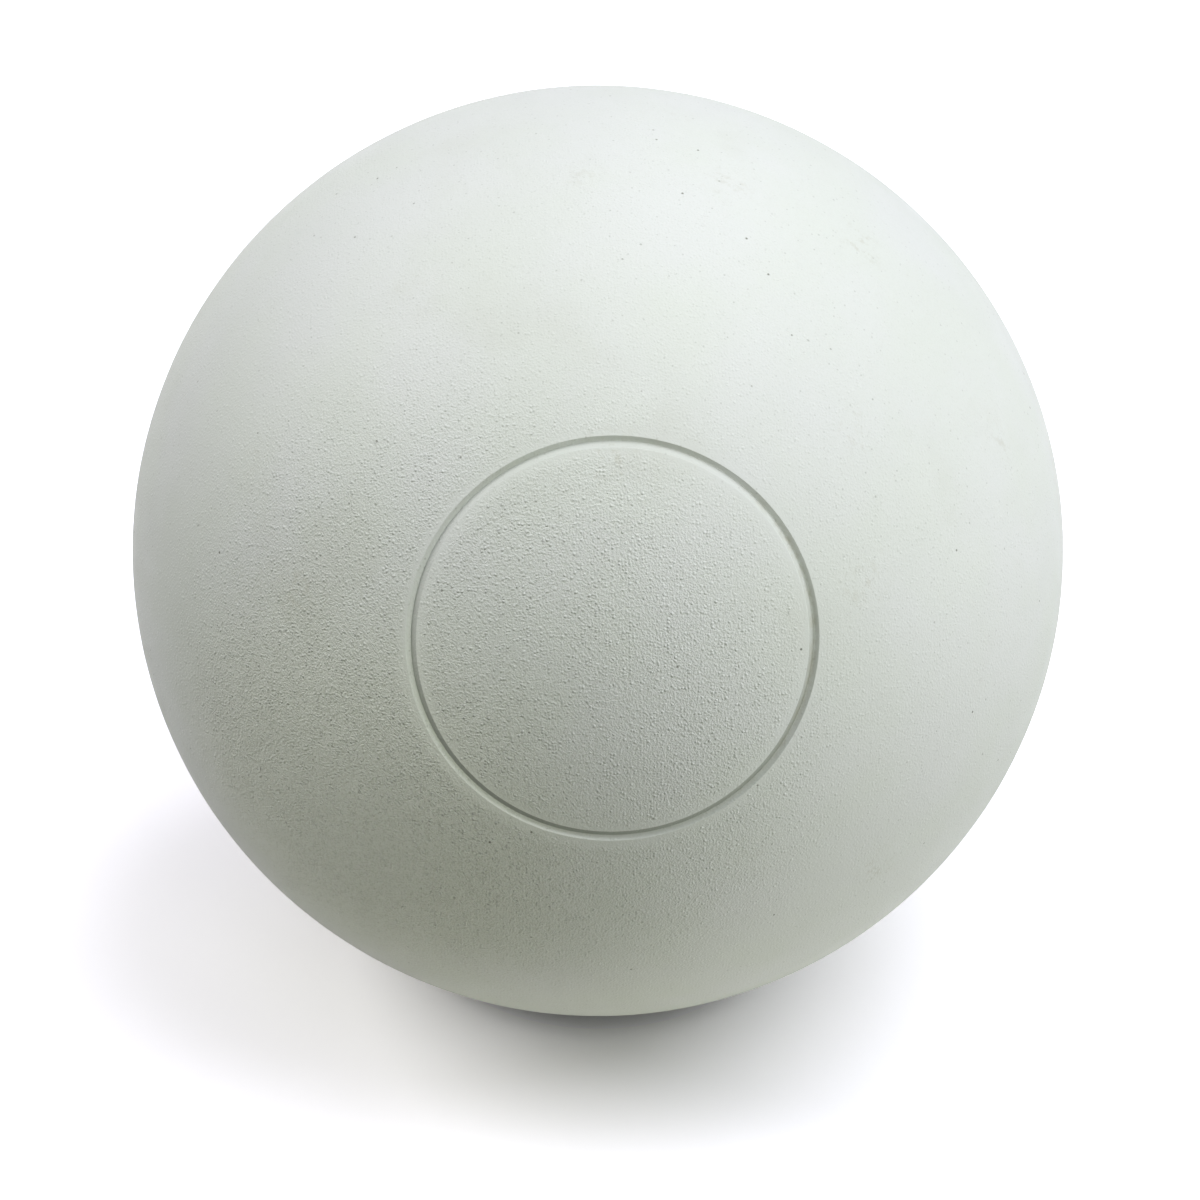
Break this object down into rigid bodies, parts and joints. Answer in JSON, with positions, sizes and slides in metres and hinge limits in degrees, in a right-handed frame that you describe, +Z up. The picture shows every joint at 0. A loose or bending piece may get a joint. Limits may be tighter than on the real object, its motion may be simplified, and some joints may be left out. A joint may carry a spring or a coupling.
{
  "type": "lacrosse ball",
  "caption": "Solid rubber lacrosse ball with a fine matt grain, a plain ring groove round one pole and a faint parting line between the halves of its cover.",
  "frame": {"origin": "centre of the ball", "axes": "+Z up as the ball lies in the picture; the mould axis lies in the YZ plane, and the pole with the ring groove faces -Y and is tipped up by 20 degrees; the outside is a sphere about the origin"},
  "size_m": [0.0634, 0.0634, 0.0634],
  "materials": {
    "core_rubber": "dull buffed rubber, hidden inside the cover",
    "cover_rubber": "off-white with a faint green-grey cast, matt, finely stippled from the mould"
  },
  "bodies": {
    "root": {"core": "core_rubber", "front_cover_half": "cover_rubber", "rear_cover_half": "cover_rubber"}
  },
  "joints": []
}
